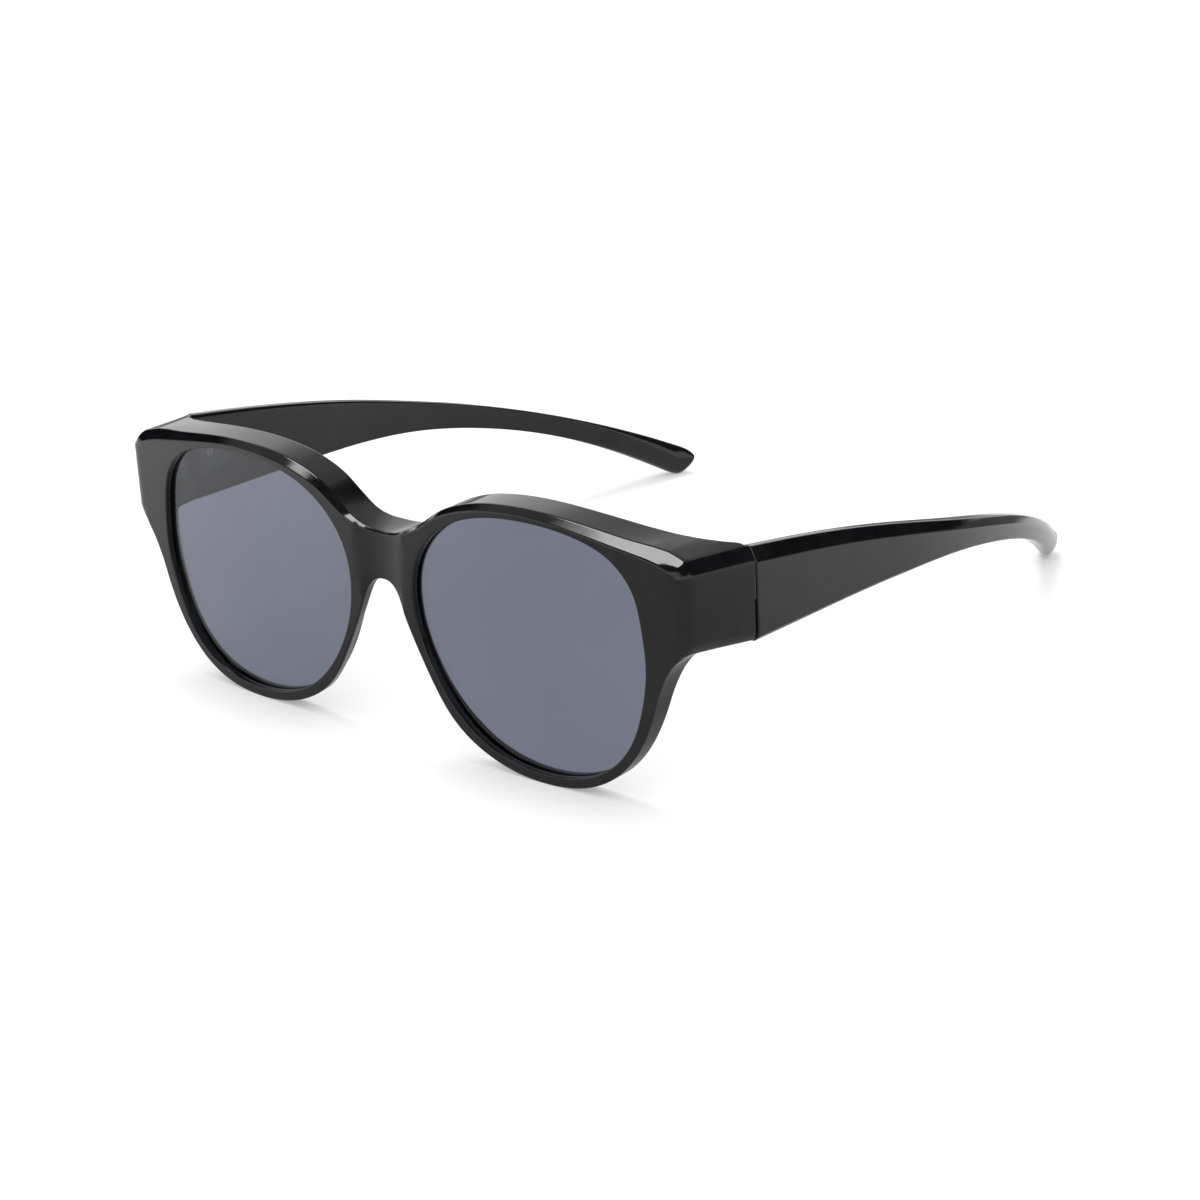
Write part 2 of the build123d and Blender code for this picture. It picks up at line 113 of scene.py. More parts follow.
# From the end piece down the temporal side, round the foot and up the nasal side to the arch: X, Z,
# width and depth of the outer bevel, its fullness, and depth of the side wall behind the rim
LOWER = (
    (69.9, 30.3, 0.8, 0.8, 1.0, 1.9),
    (68.5, 28.3, 0.6, 0.6, 1.0, 1.6),
    (67.2, 25.7, 0.5, 0.5, 1.0, 1.25),
    (66.1, 22.9, 0.5, 0.5, 1.0, 0.95),
    (65.1, 19.7, 0.5, 0.5, 1.0, 0.65),
    (63.9, 16.5, 0.5, 0.5, 1.0, 0.4),
    (62.2, 12.9, 0.5, 0.5, 1.0, 0.2),
    (59.7, 9.1, 0.5, 0.5, 1.0, 0.1),
    (56.4, 5.6, 0.5, 0.5, 1.0, 0.05),
    (52.2, 2.75, 0.5, 0.5, 1.0, 0.05),
    (47.0, 0.8, 0.5, 0.5, 1.0, 0.05),
    (41.5, 0.02, 0.5, 0.5, 1.0, 0.05),
    (35.5, 0.05, 0.55, 0.6, 1.0, 0.05),
    (29.6, 0.95, 0.65, 0.7, 0.8, 0.05),
    (24.2, 2.95, 0.55, 0.6, 0.9, -0.1),
    (19.4, 5.8, 0.45, 0.5, 1.0, -0.4),
    (15.6, 9.4, 0.4, 0.45, 1.0, -0.7),
    (12.5, 13.9, 0.4, 0.45, 1.0, -0.8),
    (9.9, 18.6, 0.4, 0.45, 1.0, -0.8),
    (7.4, 23.6, 0.4, 0.45, 1.0, -0.7),
    (5.4, 28.2, 0.4, 0.45, 1.0, -0.5),
    (3.9, 31.4, 0.4, 0.45, 1.0, -0.3),
    (2.2, 33.1, 0.4, 0.45, 1.0, -0.1),
    (0.0, 33.6, 0.4, 0.45, 1.0, 0.0),
)

# A row of the moulding is 16 numbers: X and Z of the face's edge, then X, depth and Z of the bevel's corner,
# of its far edge, of the back edge and of that edge's inner side, and X and Z of the root on the rim.
# These are the places of the X's.
FACE, CORNER, BEVEL, BACK, INNER, ROOT = ACROSS = (0, 2, 5, 8, 11, 14)
ROW_LENGTH = 16

# Corners of the front's profile: radius of the round, whether it is kept on the middle plane, the greatest
# share of a side that it takes, and how many steps the round has and how many points the side after it
FRONT_CORNERS = (
    (0.0, True, 0.4, 0, 0),    # front of the groove's floor
    (0.12, True, 0.3, 2, 0),   # front lip of the groove
    (0.35, True, 0.4, 5, 9),   # front edge of the opening
    (0.35, False, 0.2, 3, 0),  # edge of the face
    (3.0, False, 0.78, 7, 0),  # corner of the bevel
    (0.4, False, 0.2, 3, 8),   # far edge of the bevel
    (0.45, False, 0.4, 5, 0),  # back edge
    (0.45, False, 0.4, 5, 3),  # back edge's inner side
    (0.5, False, 0.4, 4, 4),   # root on the rim
    (0.3, True, 0.3, 4, 0),    # back edge of the opening
    (0.12, True, 0.3, 2, 0),   # back lip of the groove
    (0.0, True, 0.4, 0, 0),    # back of the groove's floor
)

# Lens opening about its centre, in shares of half width and half height, and the lens in its groove
LENS_CENTRE = (36.2, 27.25)
LENS_HALF = (27.65, 25.2)
LENS_SHARES = (
    (0.997, 0.09), (0.978, 0.34), (0.92, 0.62), (0.75, 0.84), (0.5, 0.95), (0.14, 0.997), (-0.2, 0.982),
    (-0.52, 0.9), (-0.81, 0.7), (-0.97, 0.42), (-1.0, 0.1), (-0.926, -0.232), (-0.74, -0.58),
    (-0.448, -0.859), (-0.1, -0.985), (0.28, -0.986), (0.6, -0.865), (0.82, -0.63), (0.95, -0.28),
)
LENS_RECESS = 1.3
LENS_THICKNESS = 1.5
LENS_SEAT = 0.8
LENS_GAP = 0.05

# Hinge: axis, pocket for the leaf and relief for the barrel
JOINT_DEPTH = 20.5
HINGE_X = 71.7
HINGE_Z = 39.85
POCKET_FLOOR = 73.1
POCKET_LENGTH = 10.55
POCKET_HALF_HEIGHT = 3.65
POCKET_OVERRUN = 3.0
RELIEF_RADIUS = 1.7
RELIEF_HALF_HEIGHT = 4.4
RELIEF_SIDES = 48

# Step in the end piece's edge at the joint: how far it is set back, and how far below the hinge it starts
STEP_CUT = 0.6
STEP_DROP = 0.6
STEP_OVERRUN = 1.0

# Temples: straight at first, then bent inwards and downwards to a rounded tip. A bevel is a depth and a
# height, or at the tip a depth and a share of the height, for the inner and outer foot and the outer and
# inner top. The table's shares are of the way to the tip's round, the joint's height and its thickness.
JOINT_GAP = 0.15
JOINT_X = 76.2
JOINT_HEIGHT = 18.3
JOINT_THICKNESS = 3.6
TEMPLE_SLOPE = 0.106
BEND_START = 44.5
JOINT_EDGE_INSET = 0.22
JOINT_EDGE_LENGTH = 0.25
JOINT_EDGE_SHARES = (0.0, 0.16, 0.48, 1.0)
TOP_BEVEL = (1.3, 2.9)
TOP_FADE = 0.35
FOOT_BEVEL = (1.25, 1.15)
INNER_BEVEL = (0.5, 0.5)
TEMPLE_SHARES = (
    (0.0, 1.0, 1.0),
    (0.125, 0.861, 0.97),
    (0.25, 0.694, 0.94),
    (0.375, 0.516, 0.92),
    (0.5, 0.361, 0.91),
    (0.625, 0.287, 0.93),
    (0.75, 0.262, 1.0),
    (0.875, 0.312, 1.13),
    (1.0, 0.437, 1.25),
)

# Tip: how far inwards it ends, length of its round, share of its height below its nose, fall of its foot as
# a slope, heights of its top and its nose, and the share of the way where the temple starts to turn into it.
# A fullness is the power of a superellipse.
TIP_INSET = 22.6
TIP_ROUND = 3.8
TIP_FOOT_SHARE = 0.75
TIP_FOOT_FALL = 0.6
TIP_HEIGHT = 7.6
TIP_NOSE = 4.0
TIP_FULLNESS = 5.0
HEEL_FULLNESS = 1.65
FOOT_SOFTNESS = 0.7
TIP_START_SHARE = 0.72
TIP_SOFTNESS = 1.5
TIP_BEVELS = ((1.1, 0.25), (1.9, 0.36), (1.4, 0.3), (1.5, 0.4))

# Corners of the temple's section: radius of the round, how many steps it has and how many points the side
# after it, and the greatest share of a side that any of them takes
TEMPLE_CORNERS = (
    (0.5, 4, 2),   # inner foot, below
    (0.3, 4, 0),   # outer foot, below
    (0.3, 4, 8),   # outer foot, outside
    (0.35, 4, 1),  # outer top, outside
    (0.35, 4, 2),  # outer top, above
    (0.5, 4, 0),   # inner top, above
    (0.5, 4, 8),   # inner top, inside
    (0.5, 4, 0),   # inner foot, inside
)
TEMPLE_ROUND_SHARE = 0.42

# Fineness of the surfaces, and how far the corners along the outline are softened, as the width of a bell
CURVE_STEP = 0.2
OUTLINE_STEP = 0.45
OUTLINE_BLUR = 0.33
BELL_REACH = 4
MIDDLE_STEPS = 21
LENS_STEPS = 1600
TEMPLE_START = 0.6
TEMPLE_STEP = 0.7
TIP_STEPS = 19
TIP_LAST_ANGLE = 89.0
MERGE_DISTANCE = 0.004
SLIVER = 0.002
ON_MIDDLE = 1e-6
LEAST_LENGTH = 1e-9
SHARP_ANGLE = 38.0

# Noise patterns: the range that they mostly keep to, and where a colour between two starts and ends
NOISE_RANGE = (0.3, 0.7)
COLOUR_RANGE = (0.35, 0.65)

# Studio: level of light by height for gloss and for matt surfaces, and the lamp, the grey panels and the
# black shades that gloss shows: the way to each, its radius in degrees and that of its soft edge. A panel
# starts with its level.
GLOSS_BANDS = ((0.0, 1.2), (0.44, 1.25), (0.5, 0.85), (0.6, 0.6), (0.68, 0.05), (1.0, 0.05))
LAMP = ((-0.3, 0.12, 0.945), 11.7, 1.0)
LAMP_LEVEL = 10.0
PANELS = ((0.5, (-0.35, 0.7, 0.62), 27.0, 5.0), (0.4, (-0.62, 0.08, 0.78), 13.0, 8.0))
SHADES = (((-0.92, 0.22, 0.32), 19.0, 4.0), ((0.5, 0.75, 0.4), 33.0, 3.0))
MATT_BANDS = ((0.0, 0.5), (0.55, 0.5), (0.7, 1.0))
MATT_LEVEL = 1.35

# Floor: share of its own white for the camera and through the lenses, its colour and its reach in metres,
# and the share and level of the painted light and shade that gloss shows on it, dimmer in front and dark far
# back. The level is carried from two places in metres to two levels.
FLOOR_GLOW = 0.3
LENS_GLOW = 0.85
FLOOR_WHITE = 0.97
FLOOR_REACH = 6.0
SHEEN_SHARE = 0.85
SHEEN_LEFT = (-0.19, -0.03, 1.4, 0.4)
SHEEN_BACK = (-0.03, 0.12, 0.0, 1.0)
SHEEN_RIGHT = (-0.02, 0.06, 0.3, 0.7)
SHEEN_END = (0.16, 0.21, 1.0, 0.05)

# Camera: angles in degrees, place in millimetres, and how far the aim leaves the target, as a slope
VIEW_AZIMUTH = 44.87
VIEW_ELEVATION = 20.98
VIEW_ROLL = -4.54
VIEW_TARGET = (0.0, -68.5, 28.0)
VIEW_DISTANCE = 618.5
FOCAL_LENGTH = 94.56
AIM_RIGHT = 0.0578
AIM_DOWN = 0.0027


def spline(knots, values, at):
    """Smooth curve through every value: a cubic between each pair of knots, with the same slope and
    bend on both sides of a knot, and no bend at the two ends."""
    knots, values, at = (np.asarray(item, float) for item in (knots, values, at))
    gap = np.diff(knots)
    count = len(knots)
    system = np.eye(count)
    inner = np.arange(1, count - 1)
    system[inner, inner - 1] = gap[:-1]
    system[inner, inner] = 2 * (gap[:-1] + gap[1:])
    system[inner, inner + 1] = gap[1:]
    right = np.zeros(values.shape)
    right[1:-1] = 6 * np.diff(np.diff(values, axis=0) / gap[:, None], axis=0)
    bend = np.linalg.solve(system, right)
    left = np.clip(np.searchsorted(knots, at, side="right") - 1, 0, count - 2)
    width = gap[left][:, None]
    a = (knots[left + 1] - at)[:, None] / width
    b = 1 - a
    lift = ((a**3 - a) * bend[left] + (b**3 - b) * bend[left + 1]) * width**2 / 6
    return a * values[left] + b * values[left + 1] + lift


def running_length(points):
    """Length along a row of points, from the first one."""
    steps = np.linalg.norm(np.diff(points, axis=0), axis=1)
    return np.concatenate([[0.0], np.cumsum(steps)])


def wrap_sag(x):
    """Depth of the wrapped face at X: the rise of a circle of the wrap radius."""
    return WRAP_RADIUS - np.sqrt(WRAP_RADIUS**2 - x**2)


def rim_back(x):
    """Depth of the rim's back behind the face: level, but thinner near the nose, where a broad round
    hollow about an upright axis meets it."""
    nose = NOSE_RIM_DEPTH + x**2 / (2 * NOSE_RELIEF_RADIUS) - wrap_sag(x)
    return np.minimum(RIM_DEPTH, nose)


def bridge_hollow(x, z):
    """Depth of the hollow over the bridge: a parabola across X between two upright creases, which stand a
    little further apart at the top."""
    height = np.clip((z - BRIDGE_FOOT) / (BRIDGE_TOP - BRIDGE_FOOT), 0, 1)
    half = HOLLOW_HALF[0] + height * (HOLLOW_HALF[1] - HOLLOW_HALF[0])
    return HOLLOW_DEPTH * np.clip(1 - (x / half) ** 2, 0, 1)


def lens_reach(angle):
    """Distance from the lens centre to its opening at each angle: the polar form of a closed smooth curve
    through the outline's points. Some points of each end are repeated at the other, so that it closes
    smoothly."""
    points = np.array(LENS_SHARES) * LENS_HALF
    extra = 4
    wide = np.concatenate([points[-extra:], points, points[: extra + 1]])
    knots = running_length(wide)
    fine = spline(knots, wide, np.linspace(knots[extra], knots[-extra - 1], LENS_STEPS))
    turn = np.unwrap(np.arctan2(fine[:, 1], fine[:, 0]))
    reach = np.hypot(fine[:, 0], fine[:, 1])
    return np.interp((angle - turn[0]) % (2 * math.pi) + turn[0], turn, reach)


def mirrored_knots(table, at_start):
    """Table continued past the middle plane with its mirror image, so that a curve runs level across it.
    Its first column is X."""
    other = table[::-1].copy()
    other[:, 0] *= -1
    return np.concatenate([other[:-1], table]) if at_start else np.concatenate([table, other[1:]])


def brow_rows():
    """Rows of the moulding along the brow, from smooth curves through the brow's table. The bevel is a
    straight line from the edge of the face to the shelf's front edge. Over the bridge both dip by a power
    of a parabola across X. The share that is kept of the bevel shrinks it towards the edge of the face,
    and the shelf rises from there to its back edge."""
    knots = mirrored_knots(np.array(BROW), True)
    length = running_length(knots[:, :2])
    middle = length[len(BROW) - 1]
    x, z, drop, depth, shelf, kept = spline(length, knots, np.arange(middle, length[-1], CURVE_STEP)).T
    x[0] = 0.0
    back = shelf - wrap_sag(x)
    top = z - BROW_FALL * (shelf - depth)
    dip = BRIDGE_DIP * np.clip(1 - (x / BRIDGE_DIP_HALF) ** 2, 0, 1) ** BRIDGE_DIP_POWER
    edge = z - drop - dip
    drop, depth = drop * kept, depth * kept
    return np.stack([
        x, edge, x, depth / 2, edge + drop / 2, x, depth, edge + drop,
        x, back, top, x, back, top - UNDER_SHELF, x, z - WALL,
    ], 1)


def end_rows():
    """Rows of the moulding round the end piece: straight lines between the rows of its table."""
    table = np.array(END_PIECE)
    for across in (CORNER, BEVEL, BACK, INNER):
        table[:, across + 1] -= wrap_sag(table[:, across])
    return table


def lower_rows():
    """Rows of the moulding down the temporal side, round the foot and up to the arch, from smooth curves
    through the table. The bevel's corner lies between its middle and the sharp corner. The wall is as
    thick as the shelf, or a share of the rim where that is narrow. Where the wall's depth is below zero,
    the rim's back corner comes forward and leans towards the lens by that much instead."""
    knots = mirrored_knots(np.array(LOWER), False)
    length = running_length(knots[:, :2])
    middle = length[len(LOWER) - 1]
    at = np.append(np.arange(0.0, middle, CURVE_STEP), middle)
    x, z, width, depth, full, wall = spline(length, knots, at).T
    x[-1] = 0.0
    along = np.gradient(np.stack([x, z], 1), axis=0)
    along[-1] = (-1.0, 0.0)
    along /= np.linalg.norm(along, axis=1)[:, None]
    inward_x, inward_z = along[:, 1], -along[:, 0]
    from_x, from_z = x - LENS_CENTRE[0], z - LENS_CENTRE[1]
    band = np.hypot(from_x, from_z) - lens_reach(np.arctan2(from_z, from_x))
    thick = np.minimum(WALL, WALL_BAND_SHARE * band)
    face_x, face_z = x + inward_x * width, z + inward_z * width
    corner_x = x + inward_x * width * (1 - full) / 2
    corner_z = z + inward_z * width * (1 - full) / 2
    back = rim_back(x) + wall
    draft = np.maximum(-wall, 0)
    back_x, back_z = x + inward_x * draft, z + inward_z * draft
    inner_x, inner_z = x + inward_x * thick, z + inward_z * thick
    return np.stack([
        face_x, face_z, corner_x, depth * (1 - full) / 2, corner_z, x, depth, z,
        back_x, back, back_z, inner_x, rim_back(x) + np.maximum(wall, 0), inner_z, inner_x, inner_z,
    ], 1)


def outline_rows():
    """All rows of half the moulding, evenly spaced from the middle of the brow to the arch and softened
    along the run by a bell curve, then straight up the middle plane to close the ring. The run is the
    length along the bevel's far edge and the back edge taken together."""
    rows = np.concatenate([brow_rows(), end_rows(), lower_rows()])
    run = running_length(rows[:, BEVEL:INNER]) / math.sqrt(2)
    count = int(run[-1] / OUTLINE_STEP)
    even = np.linspace(0, run[-1], count + 1)
    rows = np.stack([np.interp(even, run, column) for column in rows.T], 1)
    reach = int(BELL_REACH * OUTLINE_BLUR / OUTLINE_STEP) + 1
    bell = np.exp(-0.5 * (np.arange(-reach, reach + 1) * OUTLINE_STEP / OUTLINE_BLUR) ** 2)
    bell /= bell.sum()
    before, after = rows[reach:0:-1].copy(), rows[-2 : -reach - 2 : -1].copy()
    is_across = np.isin(np.arange(ROW_LENGTH), ACROSS)
    before[:, is_across] *= -1
    after[:, is_across] *= -1
    wide = np.concatenate([before, rows, after])
    rows = np.stack([np.convolve(column, bell, "valid") for column in wide.T], 1)
    rows[[0, -1]] = np.where(is_across, 0.0, rows[[0, -1]])
    share = np.linspace(0, 1, MIDDLE_STEPS + 1)[1:-1]
    height = rows[-1, FACE + 1] + share * (rows[0, FACE + 1] - rows[-1, FACE + 1])
    zero = np.zeros(len(share))
    bevel, back = zero + BRIDGE_BEVEL_DEPTH, zero + NOSE_RIM_DEPTH
    middle = np.stack([
        zero, height, zero, zero, height, zero, bevel, height,
        zero, back, height, zero, back, height, zero, height,
    ], 1)
    return np.concatenate([rows, middle]), len(rows)


def rounded_loops(keys, radii, shares, spans):
    """Closed loops of points through key corners, one loop for each row. Each corner is a round: a
    parabola that starts and ends at the corner's radius from it, or at a share of the side if that is
    less. Each side gets extra points, closer together near its ends."""
    before = np.roll(keys, 1, axis=0) - keys
    after = np.roll(keys, -1, axis=0) - keys
    before_length = np.linalg.norm(before, axis=2, keepdims=True)
    after_length = np.linalg.norm(after, axis=2, keepdims=True)
    reach_before = np.minimum(radii[..., None], shares[:, None, None] * before_length)
    reach_after = np.minimum(radii[..., None], shares[:, None, None] * after_length)
    start = keys + before / np.maximum(before_length, LEAST_LENGTH) * reach_before
    end = keys + after / np.maximum(after_length, LEAST_LENGTH) * reach_after
    loops = []
    for corner, (steps, inner) in enumerate(spans):
        if steps:
            for u in np.linspace(0, 1, steps + 1):
                to_corner = (1 - u) ** 2 * start[corner] + 2 * u * (1 - u) * keys[corner]
                loops.append(to_corner + u**2 * end[corner])
        else:
            loops.append(keys[corner])
        following = start[(corner + 1) % len(keys)]
        leaving = end[corner] if steps else keys[corner]
        for step in range(1, inner + 1):
            share = (1 - math.cos(math.pi * step / (inner + 1))) / 2
            loops.append(leaving + share * (following - leaving))
    return np.stack(loops, 1)


def build_mesh(name, points, faces):
    """Mesh in metres from points in millimetres and rows of corner numbers, doubles merged, degenerate
    faces dropped and faces turned outwards."""
    place = np.array([0.0, FACE_Y, 0.0])
    mesh = bpy.data.meshes.new(name)
    mesh.from_pydata(((points + place) * MM).tolist(), [], [tuple(face) for face in faces.tolist()])
    shape = bmesh.new()
    shape.from_mesh(mesh)
    bmesh.ops.remove_doubles(shape, verts=shape.verts, dist=MERGE_DISTANCE * MM)
    bmesh.ops.dissolve_degenerate(shape, dist=SLIVER * MM, edges=shape.edges)
    bmesh.ops.recalc_face_normals(shape, faces=shape.faces)
    shape.to_mesh(mesh)
    shape.free()
    return mesh


def close_ends(mesh):
    """Fills the open ends of a mesh and turns its faces outwards."""
    shape = bmesh.new()
    shape.from_mesh(mesh)
    bmesh.ops.holes_fill(shape, edges=shape.edges, sides=0)
    bmesh.ops.recalc_face_normals(shape, faces=shape.faces)
    shape.to_mesh(mesh)
    shape.free()


def ring_faces(rows, columns, close_rows):
    """Corner numbers of the quads of a grid whose columns close into a ring, and whose rows may too."""
    row = np.arange(rows if close_rows else rows - 1)[:, None]
    column = np.arange(columns)[None, :]
    next_row, next_column = (row + 1) % rows, (column + 1) % columns
    corners = [row * columns + column, next_row * columns + column,
               next_row * columns + next_column, row * columns + next_column]
    return np.stack([corner.ravel() for corner in np.broadcast_arrays(*corners)], 1)


def front_points():
    """Grid of half the front moulding. Rows run round the lens opening, and each row is the closed
    profile from the groove over the face, bevel, shelf, wall and back of the rim to the groove again.
    The profile is worked out on a flat face, then sheared back by the wrap, and the bridge hollow is
    pressed into its front skin."""
    rows, outer_count = outline_rows()
    columns = rows.T
    angle = np.arctan2(columns[FACE + 1] - LENS_CENTRE[1], columns[FACE] - LENS_CENTRE[0])
    way = np.stack([np.cos(angle), np.zeros_like(angle), np.sin(angle)], 1)
    centre = np.array([LENS_CENTRE[0], 0.0, LENS_CENTRE[1]])
    edge = centre + way * lens_reach(angle)[:, None]
    root = edge + way * (LENS_SEAT + LENS_GAP)
    level = np.ones(len(rows))
    front_lip = LENS_RECESS - LENS_GAP
    back_lip = LENS_RECESS + LENS_THICKNESS + LENS_GAP

    def at_depth(points, depth):
        return np.stack([points[:, 0], depth * level, points[:, 2]], 1)

    face = np.stack([columns[FACE], 0 * level, columns[FACE + 1]], 1)
    behind = [columns[across : across + 3].T for across in (CORNER, BEVEL, BACK, INNER)]
    foot = np.stack([columns[ROOT], rim_back(columns[ROOT]), columns[ROOT + 1]], 1)
    keys = np.stack([
        at_depth(root, front_lip), at_depth(edge, front_lip), at_depth(edge, 0.0),
        face, *behind, foot,
        at_depth(edge, rim_back(edge[:, 0])), at_depth(edge, back_lip), at_depth(root, back_lip),
    ])
    outer = (np.arange(len(rows)) < outer_count).astype(float)
    sizes, on_middle, shares, steps, inner = zip(*FRONT_CORNERS)
    radii = np.stack([size * (level if kept else outer) for size, kept in zip(sizes, on_middle)])
    points = rounded_loops(keys, radii, np.array(shares), list(zip(steps, inner)))
    x, depth, z = points[..., 0], points[..., 1], points[..., 2]
    skin = np.clip(1 - depth / HOLLOW_FADE, 0, 1)
    points[..., 1] = depth + wrap_sag(x) + bridge_hollow(x, z) * skin
    return points


def block(side, x_ends, y_ends, z_ends):
    """Closed block between two ends each way, as points and faces."""
    points = [(side * x, y, z) for x in x_ends for y in y_ends for z in z_ends]
    faces = [(0, 1, 3, 2), (4, 6, 7, 5), (0, 4, 5, 1), (2, 3, 7, 6), (0, 2, 6, 4), (1, 5, 7, 3)]
    return np.array(points), np.array(faces)


def hinge_cutters(side, backwards):
    """Closed shapes that cut the leaf's pocket and the barrel's relief: a block and an upright roller.
    Backwards is -1 in the end piece and 1 in the temple."""
    y_ends = sorted((JOINT_DEPTH - backwards * POCKET_OVERRUN, JOINT_DEPTH + backwards * POCKET_LENGTH))
    z_ends = (HINGE_Z - POCKET_HALF_HEIGHT, HINGE_Z + POCKET_HALF_HEIGHT)
    pocket = block(side, (HINGE_X - POCKET_OVERRUN, POCKET_FLOOR), y_ends, z_ends)
    turn = np.linspace(0, 2 * math.pi, RELIEF_SIDES, endpoint=False)
    x = side * (HINGE_X + RELIEF_RADIUS * np.cos(turn))
    y = JOINT_DEPTH + RELIEF_RADIUS * np.sin(turn)
    levels = (HINGE_Z - RELIEF_HALF_HEIGHT, HINGE_Z + RELIEF_HALF_HEIGHT)
    roller = np.concatenate([np.column_stack([x, y, np.full(RELIEF_SIDES, level)]) for level in levels])
    return pocket, (roller, ring_faces(len(levels), RELIEF_SIDES, False))


def joint_step(side):
    """Closed block that sets back the lower half of the end piece's edge at the joint."""
    x_ends = (JOINT_X - STEP_CUT, JOINT_X + STEP_OVERRUN)
    y_ends = (JOINT_DEPTH - STEP_CUT, JOINT_DEPTH + STEP_OVERRUN)
    return block(side, x_ends, y_ends, (HINGE_Z - JOINT_HEIGHT, HINGE_Z - STEP_DROP))


def cut_pockets(piece, cutters):
    """Cuts closed shapes out of a piece and keeps the result as its mesh."""
    tools = []
    for number, (points, faces) in enumerate(cutters):
        mesh = build_mesh(f"cutter_{number}", points, faces)
        close_ends(mesh)
        tool = bpy.data.objects.new(f"cutter_{number}", mesh)
        bpy.context.scene.collection.objects.link(tool)
        cut = piece.modifiers.new(f"cut_{number}", "BOOLEAN")
        cut.operation = "DIFFERENCE"
        cut.solver = "EXACT"
        cut.object = tool
        tools.append(tool)
    done = bpy.data.meshes.new_from_object(piece.evaluated_get(bpy.context.evaluated_depsgraph_get()))
    piece.modifiers.clear()
    piece.data = done
    for tool in tools:
        bpy.data.objects.remove(tool)


def place_piece(name, mesh, material, node, body):
    """Object at the origin that stands for a CAD node, rides with its body and takes its finish."""
    piece = bpy.data.objects.new(name, mesh)
    bpy.context.scene.collection.objects.link(piece)
    mesh.materials.append(material)
    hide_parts(node)
    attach(piece, body)
    return piece


def soften(mesh):
    """Smooth shading, with hard edges only where faces meet sharply."""
    mesh.shade_smooth()
    mesh.set_sharp_from_angle(angle=math.radians(SHARP_ANGLE))


def front_moulding(material):
    """The whole front in one piece: both halves, joined on the middle plane, with the hinge pockets and
    the steps at the joints. Faces that lie in the middle plane are left out."""
    half = front_points()
    rows, columns = half.shape[:2]
    faces = ring_faces(rows, columns, True)
    flat = half.reshape(-1, 3)
    flush = (np.abs(flat[faces][..., 0]) < ON_MIDDLE).all(axis=1)
    faces = faces[~flush]
    other = flat * (-1, 1, 1)
    points = np.concatenate([flat, other])
    both = np.concatenate([faces, faces[:, ::-1] + len(flat)])
    piece = place_piece("front_moulding", build_mesh("front_moulding", points, both), material,
                        "front_frame", "front")
    cutters = [cutter for side in (1, -1) for cutter in (*hinge_cutters(side, -1), joint_step(side))]
    cut_pockets(piece, cutters)
    soften(piece.data)
    return piece


def temple_line(along):
    """Inset, drop and plan direction of the temple at a way along its run. The inset is the rise of a
    circle past the bend's start. The drop is a slope plus a cubic that stands the tip on the ground."""
    run = OVERALL_DEPTH - JOINT_DEPTH - JOINT_GAP
    bend_run = run - BEND_START
    radius = (bend_run**2 + TIP_INSET**2) / (2 * TIP_INSET)
    bent = np.maximum(along - BEND_START, 0)
    inset = radius - np.sqrt(radius**2 - bent**2)
    tip_run = run - TIP_ROUND
    height = TEMPLE_SHARES[-1][1] * JOINT_HEIGHT
    spare = HINGE_Z - TEMPLE_SLOPE * tip_run - height / 2
    tip_slope = TEMPLE_SLOPE + 3 * spare / tip_run
    tip_drop = spare + height * TIP_FOOT_SHARE - math.hypot(tip_slope * TIP_ROUND, height * TIP_FOOT_SHARE)
    drop = TEMPLE_SLOPE * along + tip_drop * (along / tip_run) ** 3
    return inset, drop, np.arctan(bent / (radius - inset))


